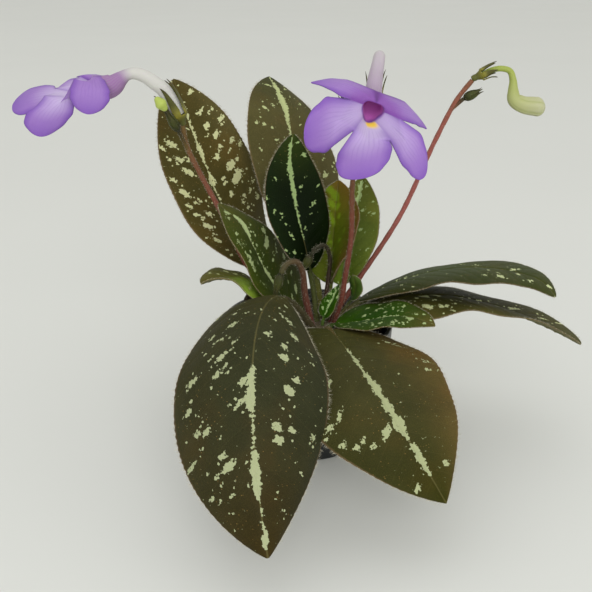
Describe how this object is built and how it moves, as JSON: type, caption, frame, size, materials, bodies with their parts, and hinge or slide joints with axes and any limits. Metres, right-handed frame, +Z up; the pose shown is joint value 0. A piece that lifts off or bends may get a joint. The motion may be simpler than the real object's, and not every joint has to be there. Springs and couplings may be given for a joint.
{
  "type": "potted flowering house plant",
  "caption": "Low rosette of broad mottled hairy leaves with lavender two-lipped flowers on long bare stalks, growing in a small black nursery pot.",
  "frame": {"origin": "centre of the pot's flat underside", "axes": "+Z up along the pot's axis, -Y towards the side with the two large drooping leaves, +X to the right seen from there"},
  "size_m": [0.2394, 0.1983, 0.1728],
  "materials": {
    "pot": "satin black moulded plastic",
    "soil": "coarse dark potting mix",
    "leaf": "velvety, dark olive with pale green mottling",
    "stalk": "downy, reddish brown",
    "petal": "soft, lavender",
    "bud": "soft, pale green to cream"
  },
  "bodies": {
    "root": {"pot": "pot", "soil": "soil", "rosette": "leaf", "stalk_left": "stalk", "stalk_centre": "stalk", "stalk_right": "stalk", "stalk_young_front": "stalk", "stalk_young_back": "stalk", "flower_centre": "petal", "flower_left": "petal", "bud_right": "bud", "bud_left_small": "bud"}
  },
  "joints": []
}
